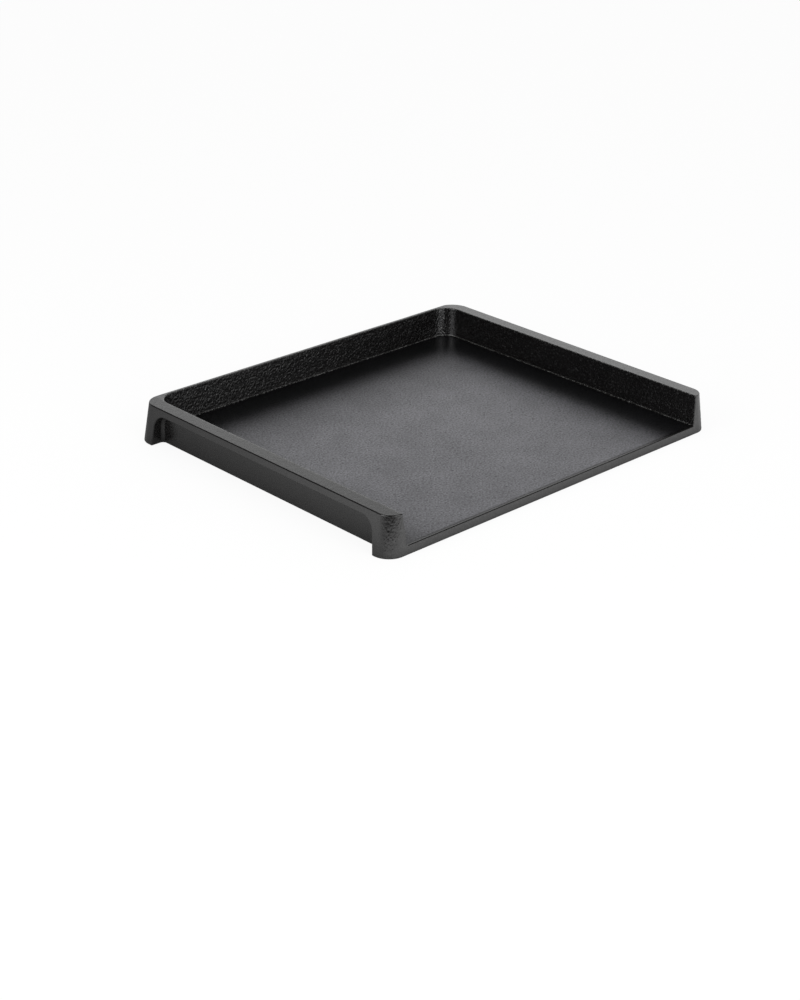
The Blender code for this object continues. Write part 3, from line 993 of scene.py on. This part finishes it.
# Where a noise's value counts as a grain, a cloud, a painted glint, a fleck of painted highlight, a sand pit
# and a ground pit
GRAINS = (0.3, 0.7)
CLOUDS = (0.35, 0.65)
GLINTS = (0.58, 0.7)
HIGHLIGHT_FLECKS = (0.49, 0.61)
SAND_PITS = (0.34, 0.42)
GROUND_PITS = (0.31, 0.38)
NOISE_SPAN = 0.4  # of the noise's range, which a grain's depth is divided by
WORN_FROM = (0.75, 0.15)  # the grain's value over which none and all of the wear and painted light show the pale colour
WORN_EDGE = 0.1  # how far over that value the iron shows in full
CLOUD_SHADES = (0.8, 1.25)  # the colour's darkest and lightest, as shares of it
GLOSS_SWING = 0.1  # how much rougher a dip and smoother a tip of the grain is
GROUND_GLOSS = (0.4, 0.28)  # the roughness in the ground grain's dips and on its tips
GROUND_BUMP = 0.03 * MM  # the height of the ground grain


def iron_nodes(name, noises):
    """A new material for the casting: itself, its tree, the mesh's finish and the noises."""
    material = bpy.data.materials.new(name)
    material.use_nodes = True
    tree = material.node_tree
    place = node(tree, "TexCoord").outputs["Object"]
    finish_and_painted_light = node(tree, "Attribute", {"attribute_name": "finish_and_painted_light"}).outputs["Color"]
    made = [
        node(tree, "TexNoise", Vector=place, Scale=1 / size, Detail=detail, Roughness=roughness)
        for size, detail, roughness in noises
    ]
    return material, tree, node(tree, "SeparateColor", Color=finish_and_painted_light).outputs, made


def dressed(material, paint, gloss, height, **values):
    """Gives a material its colour, its roughness, a bump by a height in millimetres, and other values."""
    tree = material.node_tree
    shader = tree.nodes["Principled BSDF"]
    bump = node(tree, "Bump", Strength=1.0, Distance=MM, Height=height)
    inputs = {"Base Color": paint, "Roughness": gloss, "Normal": bump, **values}
    for name, value in inputs.items():
        plug(tree, shader.inputs[name], value)
    return material


def seasoned_iron(name, colours, colour, ior, roughness, relief, pitting):
    """Cast iron under baked-on oil, a satin black coat that follows the iron's grain.

    roughness and relief, the bump in metres, are each for smooth places and for sandy ones. The
    mesh's finish attribute says which is which. pitting is how much rougher the pits are.
    """
    material, tree, (sand, pale, wear_and_painted_light), (fine, speck, glint, cloud) = iron_nodes(name, SAND_NOISES)
    shade = node(tree, "MapRange", Value=cloud, From=CLOUDS)
    dark, light = ((*(c * share for c in colour), 1) for share in CLOUD_SHADES)
    paint = node(tree, "Mix", COLOUR, _0=shade, _6=dark, _7=light)
    # Painted glints: sparse pale specks in the colour of sand-cast faces, where a grain's flat would catch
    # the light
    glint = node(tree, "MapRange", Value=glint, From=GLINTS)
    glint = node(tree, "Math", MULTIPLY, _0=glint, _1=sand)
    # Wear and painted light pale the grain's tips first: a few flecks on the posts, which are painted
    # glints, nearly all of the rims' level tops, which are worn, and the painted light over the right
    # rim's outer edge
    hidden = node(tree, "MapRange", Value=wear_and_painted_light, To=WORN_FROM)
    pale_wear_and_painted_light = node(tree, "Math", SUBTRACT, _0=fine, _1=hidden)
    pale_wear_and_painted_light = node(tree, "MapRange", Value=pale_wear_and_painted_light, From=(0.0, WORN_EDGE))
    # Painted highlights: pale flecks along the crease and the rims' inner edges, where their rounds would
    # catch the light
    flecks = node(tree, "MapRange", Value=fine, From=HIGHLIGHT_FLECKS)
    flecks = node(tree, "Math", MULTIPLY, _0=flecks, _1=pale)
    for share, shown in ((glint, colours.glint), (pale_wear_and_painted_light, colours.wear_and_painted_light), (flecks, colours.painted_highlight)):
        paint = node(tree, "Mix", COLOUR, _0=share, _6=paint, _7=(*shown, 1))

    # Pits show dull, and the grain's tips a little brighter
    smooth, sandy = roughness
    gloss = node(tree, "MapRange", Value=fine, From=GRAINS, To=(smooth + GLOSS_SWING, smooth - GLOSS_SWING))
    pits = node(tree, "MapRange", Value=speck, From=SAND_PITS, To=(pitting, 0.0))
    gloss = node(tree, "Math", ADD, _0=gloss, _1=pits)
    gloss = node(tree, "Mix", _0=sand, _2=gloss, _3=sandy)
    depth = node(tree, "MapRange", Value=sand, To=[depth / (NOISE_SPAN * MM) for depth in relief])
    height = node(tree, "Math", MULTIPLY, _0=fine, _1=depth)
    return dressed(material, paint, gloss, height, IOR=ior)


def ground_iron(name, colours):
    """Cast iron ground flat and seasoned, shining in the middle as dark metal does.

    The sheen is fine-grained, with a dull dot in each pit. Towards the walls the colour darkens to a
    painted shade, where the walls block the light that the floor reflects.
    """
    material, tree, (_, _, wear_and_painted_light), (fine, speck, cloud) = iron_nodes(name, GROUND_NOISES)
    # Painted shade: towards the walls the floor's colour turns to the darker shade colour
    paint = node(tree, "Mix", COLOUR, _0=wear_and_painted_light, _6=(*colours.painted_floor_shade, 1), _7=(*colours.cooking, 1))
    shade = 1.0
    # The grain, the pits and the clouds, each with its darkest and its lightest share of the colour
    for noise, span, shades in (
        (fine, GRAINS, (0.55, 1.4)),
        (speck, GROUND_PITS, (0.5, 1.0)),
        (cloud, CLOUDS, (0.9, 1.08)),
    ):
        part = node(tree, "MapRange", Value=noise, From=span, To=shades)
        shade = node(tree, "Math", MULTIPLY, _0=part, _1=shade)
    paint = node(tree, "VectorMath", SCALE, _0=paint, Scale=shade)
    gloss = node(tree, "MapRange", Value=fine, From=GRAINS, To=GROUND_GLOSS)
    height = node(tree, "Math", MULTIPLY, _0=fine, _1=GROUND_BUMP / (NOISE_SPAN * MM))
    return dressed(material, paint, gloss, height, Metallic=1.0)


IRON_NAMES = ("ground_seasoned_iron", "sand_cast_seasoned_iron", "smooth_cast_seasoned_iron")


def irons(context):
    """The casting's three finishes, which its pieces share: cooking floor, tray walls and outside."""
    colours = context.scene.griddle_colours
    made = [bpy.data.materials.get(name) for name in IRON_NAMES]
    if all(made):
        return made
    # As it leaves the sand, under baked-on oil: small lumps, each with its own glint
    sand_cast = (colours.wall, 1.66, (0.27, 0.22), (0.015 * MM, 0.03 * MM), 0.1)
    # Cast against fine facing sand and handled: smoother, a little paler, worn on the level tops
    smooth_cast = (colours.outside, 1.75, (0.25, 0.2), (0.032 * MM, 0.035 * MM), 0.08)
    return [
        ground_iron(IRON_NAMES[0], colours),
        seasoned_iron(IRON_NAMES[1], colours, *sand_cast),
        seasoned_iron(IRON_NAMES[2], colours, *smooth_cast),
    ]


def rays(tree):
    """Whether a ray comes from the camera, and whether it comes from a gloss or through a glass."""
    path = node(tree, "LightPath").outputs
    bent = node(tree, "Math", MAXIMUM, _0=path["Is Glossy Ray"], _1=path["Is Transmission Ray"])
    return path["Is Camera Ray"], bent


def studio_white(name, shade):
    """White paper: mostly white light to the camera, and matt for light, shadow and reflections.

    Reflections show it as a sheet of its own size: it dims towards the rear and in the shade beside
    the object, and past its front edge, which lies just before the object, the studio is dark.
    """
    material = bpy.data.materials.new(name)
    material.use_nodes = True
    tree = material.node_tree
    tree.nodes.clear()
    place = node(tree, "TexCoord").outputs["Object"]
    forward = (math.sin(CAMERA_AZIMUTH), -math.cos(CAMERA_AZIMUTH), 0)
    ahead = node(tree, "VectorMath", DOT_PRODUCT, _0=place, _1=forward)
    sheet = node(tree, "MapRange", SMOOTH, Value=ahead, From=PAPER_EDGE, To=(1.0, DIM_REFLECTION))
    sideways, rearward, _ = node(tree, "SeparateXYZ", Vector=place).outputs
    sideways = node(tree, "Math", ABSOLUTE, _0=sideways)
    beside = node(tree, "MapRange", SMOOTH, Value=sideways, From=SHADE_SIDE)
    before = node(tree, "MapRange", SMOOTH, Value=rearward, From=SHADE_FRONT)
    clear = node(tree, "Math", MAXIMUM, _0=beside, _1=before)
    clear = node(tree, "MapRange", Value=clear, To=(PAPER_SHADE, 1.0))
    fade = node(tree, "MapRange", SMOOTH, Value=rearward, From=PAPER_RUN, To=(1.0, PAPER_FADE))
    for share in (fade, clear):
        sheet = node(tree, "Math", MULTIPLY, _0=sheet, _1=share)
    camera, bent = rays(tree)
    level = node(tree, "Mix", _0=bent, _2=1.0, _3=sheet)
    paint = node(tree, "VectorMath", SCALE, _0=shade, Scale=level)
    share = node(tree, "Math", MULTIPLY, _0=camera, _1=PAPER_TO_CAMERA)
    diffuse = node(tree, "BsdfDiffuse", Color=paint)
    glow = node(tree, "Emission", Color=(1, 1, 1, 1), Strength=1.0)
    blend = node(tree, "MixShader", _0=share, _1=diffuse, _2=glow)
    node(tree, "OutputMaterial", Surface=blend)
    return material


# Properties


def colour_property(name, description, hex_colour):
    return bpy.props.FloatVectorProperty(
        name=name, description=description, subtype="COLOR", default=linear(hex_colour), min=0, max=1
    )


def length_property(name, description, default):
    return bpy.props.FloatProperty(
        name=name, description=description, default=default, min=0, unit="LENGTH", precision=5
    )


def share_property(name, description, default):
    return bpy.props.FloatProperty(
        name=name, description=description, default=default, min=0, max=2, subtype="FACTOR"
    )


class GriddleForm(bpy.types.PropertyGroup):
    """Relief of the cast surface"""

    sand_size: length_property("Sand size", "Width of a lump left by the moulding sand", 1.15 * MM)
    sand_height: length_property("Sand height", "Height of the lumps on the tray's rear wall", 0.15 * MM)
    side_share: share_property("Side relief", "Height on the tray's side walls, as a share of that", 0.42)
    post_share: share_property("Post relief", "Height on the front posts, as a share of that", 0.65)
    # The posts' pale flecks are painted glints
    post_painted_glints: share_property("Post wear", "How far the front posts' grain is worn pale", 0.36)
    # The rims' inner edges carry a painted highlight
    lip_painted_highlight: share_property("Lip wear", "How far the rims' inner edges are scraped pale", 1.6)
    skirt_share: share_property("Skirt relief", "Height on the outer skirts, as a share of that", 0.05)
    floor_grain_size: length_property("Floor grain", "Width of the cooking floor's ground grain", 2.4 * MM)
    floor_grain_height: length_property("Floor relief", "Height of the cooking floor's grain", 0.014 * MM)
    # How far the floor's painted shade reaches from the rear wall and from a side wall
    floor_shade_rear: length_property("Rear residue", "How far residue reaches from the rear wall", 100 * MM)
    floor_shade_side: length_property("Side residue", "How far residue reaches from a side wall", 38 * MM)
    swell_size: length_property("Swell size", "Width of the casting's gentle swell", 34 * MM)
    swell_height: length_property("Swell height", "Height of the casting's gentle swell", 0.05 * MM)
    top_fall: bpy.props.FloatProperty(
        name="Top fall",
        description="How far the handle rims' tops fall outwards",
        default=math.radians(2.8),
        min=0,
        max=math.radians(5),
        subtype="ANGLE",
    )


class GriddleColours(bpy.types.PropertyGroup):
    """Colours of the finishes"""

    # The floor's own colour shows in the middle; the next colour is the painted shade along its walls
    cooking: colour_property("Cooking floor", "Scoured middle of the ground, seasoned floor", "#78787c")
    painted_floor_shade: colour_property("Residue", "Burnt oil on the floor along its walls", "#464648")
    wall: colour_property("Walls", "Seasoned, sand-cast iron of the walls", "#090808")
    outside: colour_property("Outside", "Seasoned, smoother iron of the outside and the rims", "#0c0b0b")
    # Painted glints on the tray's walls
    glint: colour_property("Glints", "Flats of the sand's grain on the tray's walls", "#2b2b2b")
    # Also painted glints on the posts' grain, and painted light over the right rim's outer edge
    wear_and_painted_light: colour_property("Wear", "Worn iron on the rims' level tops and the posts' grain", "#2a2a2a")
    # Painted highlight in the crease round the floor and along the rims' inner edges
    painted_highlight: colour_property("Ash", "Ash in the crease round the floor, and scraped iron on the lips", "#5c5c5b")
    floor: colour_property("Studio floor", "The pale studio floor", "#f2f2f2")


# Operators


class PieceMaker:
    """What the piece operators share: the settings, and a piece made from its skin."""

    bl_options = {"REGISTER", "UNDO"}

    def make(self, context, skin, node_name, slot, mirrored=False):
        name = f"cast_{node_name}"
        mesh = skin.mesh(name, context.scene.griddle_form, mirrored)
        if not mesh.polygons:
            raise RuntimeError(f"{name} came out empty")
        return placed(name, mesh, node_name, irons(context))

    def make_pair(self, context, skin, place, slot):
        for side, mirrored in (("left", True), ("right", False)):
            self.make(context, skin, place.format(side), slot, mirrored)


class GRIDDLE_OT_cooking_floor(PieceMaker, bpy.types.Operator):
    """Make the cooking floor with its open front edge"""

    bl_idname = "griddle.cooking_floor"
    bl_label = "Cooking floor"

    def execute(self, context):
        self.make(context, cooking_floor_skin(), "cooking_floor", "cooking_iron")
        return {"FINISHED"}


class GRIDDLE_OT_rear_rim(PieceMaker, bpy.types.Operator):
    """Make the rear rim between the round corners"""

    bl_idname = "griddle.rear_rim"
    bl_label = "Rear rim"

    def execute(self, context):
        self.make(context, rear_rim_skin(), "rear_rim", "wall_iron")
        return {"FINISHED"}


class GRIDDLE_OT_side_walls(PieceMaker, bpy.types.Operator):
    """Make the recessed walls under the two handle rims"""

    bl_idname = "griddle.side_walls"
    bl_label = "Side walls"

    def execute(self, context):
        self.make_pair(context, side_wall_skin(), "{}_side_wall", "wall_iron")
        return {"FINISHED"}


class GRIDDLE_OT_handle_rims(PieceMaker, bpy.types.Operator):
    """Make the two wide rims that the hands lift by"""

    bl_idname = "griddle.handle_rims"
    bl_label = "Handle rims"

    def execute(self, context):
        self.make_pair(context, handle_rim_skin(), "{}_handle_rim", "rim_iron")
        return {"FINISHED"}


class GRIDDLE_OT_front_feet(PieceMaker, bpy.types.Operator):
    """Make the rims' front ends with their feet"""

    bl_idname = "griddle.front_feet"
    bl_label = "Front corner feet"

    def execute(self, context):
        self.make_pair(context, front_foot_skin(), "front_{}_corner_foot", "foot_iron")
        return {"FINISHED"}


class GRIDDLE_OT_rear_feet(PieceMaker, bpy.types.Operator):
    """Make the round rear corners with their feet"""

    bl_idname = "griddle.rear_feet"
    bl_label = "Rear corner feet"

    def execute(self, context):
        self.make_pair(context, rear_foot_skin(), "rear_{}_corner_foot", "foot_iron")
        return {"FINISHED"}


CAMERA_PLACE = (-970.5 * MM, -981.1 * MM, 599.2 * MM)
CAMERA_AZIMUTH = math.radians(-43.89)
CAMERA_ELEVATION = math.radians(25.44)
CAMERA_ROLL = math.radians(0.87)
CAMERA_LENS = 70.15  # millimetres, for the long side below
CAMERA_LONG_SIDE = 36.0

# White screens for reflections: turned from the rear to the right, how the cosine of the angle to
# each side fades it in, the elevations where it fades out upwards, and its level. The tall one stands
# behind the object, the low one to the right.
SCREENS = (
    (math.radians(50), (0.4, 0.85), (math.radians(22), math.radians(46)), 1.0),
    (math.radians(115), (0.2, 0.75), (math.radians(6), math.radians(22)), 0.75),
)
DIM_REFLECTION = 0.025  # how bright the studio is beside the screens, in reflections
WORLD_LIGHT = 0.8  # the level of the light that the matt surfaces get from all round
SOFTBOXES = {"left_softbox": math.radians(-45), "right_softbox": math.radians(37)}  # from the camera
SOFTBOX_SIZE = (0.8, 1.0)  # metres
SOFTBOX_POWER = 7.5  # watts
SOFTBOX_DISTANCE = 1.3  # metres along the ground
SOFTBOX_ELEVATION = math.radians(24)
PAPER_HALF = 6.0  # metres from the middle to a side
PAPER_LEVEL = -0.02 * MM  # just clear of the plate's underside
PAPER_TO_CAMERA = 0.9  # how much of what the camera sees of the paper is plain white light
PAPER_EDGE = (0.235, 0.36)  # metres from the middle towards the camera
PAPER_SHADE = 0.52  # how dark the object shades the paper beside it, in reflections
SHADE_SIDE = (SIDE, SIDE + 90 * MM)  # where that shade ends, to the sides and to the front
SHADE_FRONT = (FRONT + 12 * MM, FRONT - 16 * MM)
PAPER_RUN = (FRONT, 2.5 * REAR)  # where the paper fades towards the rear, in reflections
PAPER_FADE = 0.4  # how bright it is behind that


class GRIDDLE_OT_stage(bpy.types.Operator):
    """Set the pale floor, the soft lights, the world and the camera"""

    bl_idname = "griddle.stage"
    bl_label = "Studio"
    bl_options = {"REGISTER", "UNDO"}

    def execute(self, context):
        self.set_floor(context)
        self.set_world(context)
        self.set_lights(context)
        self.set_camera(context)
        context.scene.view_settings.view_transform = "Standard"
        return {"FINISHED"}

    def set_floor(self, context):
        """White paper, wide enough to fill the picture."""
        mesh = bpy.data.meshes.new("studio_floor")
        square = ((-1, -1), (1, -1), (1, 1), (-1, 1))
        corners = [(x * PAPER_HALF, y * PAPER_HALF, PAPER_LEVEL) for x, y in square]
        mesh.from_pydata(corners, [], [(0, 1, 2, 3)])
        floor = bpy.data.objects.new("studio_floor", mesh)
        context.scene.collection.objects.link(floor)
        mesh.materials.append(studio_white("matt_white_paper", context.scene.griddle_colours.floor))

    def set_world(self, context):
        """White to the camera. In reflections white screens stand round the object and the rest is dim."""
        world = bpy.data.worlds.new("studio")
        context.scene.world = world
        world.use_nodes = True
        tree = world.node_tree
        tree.nodes.clear()
        towards = node(tree, "TexCoord").outputs["Generated"]
        level = node(tree, "SeparateXYZ", Vector=towards).outputs[2]
        screen = 0.0
        for azimuth, width, top, share in SCREENS:
            facing = (math.sin(azimuth), math.cos(azimuth), 0)
            near = node(tree, "VectorMath", DOT_PRODUCT, _0=towards, _1=facing)
            wide = node(tree, "MapRange", SMOOTH, Value=near, From=width)
            end = [math.sin(angle) for angle in top]
            high = node(tree, "MapRange", SMOOTH, Value=level, From=end, To=(share, 0.0))
            both = node(tree, "Math", MULTIPLY, _0=wide, _1=high)
            screen = node(tree, "Math", MAXIMUM, _0=both, _1=screen)
        screen = node(tree, "MapRange", Value=screen, To=(DIM_REFLECTION, 1.0))
        camera, bent = rays(tree)
        strength = node(tree, "Mix", _0=bent, _2=WORLD_LIGHT, _3=screen)
        strength = node(tree, "Mix", _0=camera, _2=strength, _3=1.0)
        light = node(tree, "Background", Color=(1, 1, 1, 1), Strength=strength)
        node(tree, "OutputWorld", Surface=light)

    def set_lights(self, context):
        """Two tall softboxes, to the left and the right of the camera."""
        for name, turn in SOFTBOXES.items():
            azimuth = CAMERA_AZIMUTH + turn
            lamp = bpy.data.lights.new(name, "AREA")
            lamp.shape = "RECTANGLE"
            lamp.size, lamp.size_y = SOFTBOX_SIZE
            lamp.energy = SOFTBOX_POWER
            light = bpy.data.objects.new(name, lamp)
            context.scene.collection.objects.link(light)
            place = math.sin(azimuth), -math.cos(azimuth), math.tan(SOFTBOX_ELEVATION)
            light.location = [SOFTBOX_DISTANCE * part for part in place]
            light.rotation_euler = (-light.location).to_track_quat("-Z", "Y").to_euler()

    def set_camera(self, context):
        """The photograph's view: back points from the object to the camera, and the roll turns round it."""
        level, rise = math.cos(CAMERA_ELEVATION), math.sin(CAMERA_ELEVATION)
        back = np.array([math.sin(CAMERA_AZIMUTH) * level, -math.cos(CAMERA_AZIMUTH) * level, rise])
        right = unit(np.cross(Z, back))
        up = np.cross(back, right)
        cos, sin = math.cos(CAMERA_ROLL), math.sin(CAMERA_ROLL)
        turned = np.column_stack([cos * right + sin * up, -sin * right + cos * up, back])
        lens = bpy.data.cameras.new("camera")
        lens.lens = CAMERA_LENS
        lens.sensor_width = CAMERA_LONG_SIDE
        camera = bpy.data.objects.new("camera", lens)
        context.scene.collection.objects.link(camera)
        camera.matrix_world = Matrix.Translation(CAMERA_PLACE) @ Matrix(turned.tolist()).to_4x4()
        context.scene.camera = camera


class GRIDDLE_PT_panel(bpy.types.Panel):
    """Lists the griddle plate's pieces and settings"""

    bl_idname = "GRIDDLE_PT_panel"
    bl_label = "Griddle plate"
    bl_space_type = "VIEW_3D"
    bl_region_type = "UI"
    bl_category = "Griddle"

    def draw(self, context):
        layout = self.layout
        for group in (context.scene.griddle_form, context.scene.griddle_colours):
            box = layout.box()
            for name in group.bl_rna.properties.keys():
                if name not in ("rna_type", "name"):
                    box.prop(group, name)
        for operator in OPERATORS:
            layout.operator(operator.bl_idname)


OPERATORS = (
    GRIDDLE_OT_cooking_floor,
    GRIDDLE_OT_rear_rim,
    GRIDDLE_OT_side_walls,
    GRIDDLE_OT_handle_rims,
    GRIDDLE_OT_front_feet,
    GRIDDLE_OT_rear_feet,
    GRIDDLE_OT_stage,
)
CLASSES = (GriddleForm, GriddleColours, *OPERATORS, GRIDDLE_PT_panel)


def register():
    for cls in CLASSES:
        bpy.utils.register_class(cls)
    bpy.types.Scene.griddle_form = bpy.props.PointerProperty(type=GriddleForm)
    bpy.types.Scene.griddle_colours = bpy.props.PointerProperty(type=GriddleColours)


def unregister():
    del bpy.types.Scene.griddle_colours
    del bpy.types.Scene.griddle_form
    for cls in reversed(CLASSES):
        bpy.utils.unregister_class(cls)


def main():
    register()
    for operator in OPERATORS:
        group, name = operator.bl_idname.split(".")
        getattr(getattr(bpy.ops, group), name)()
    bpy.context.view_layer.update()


if __name__ == "__main__":
    main()
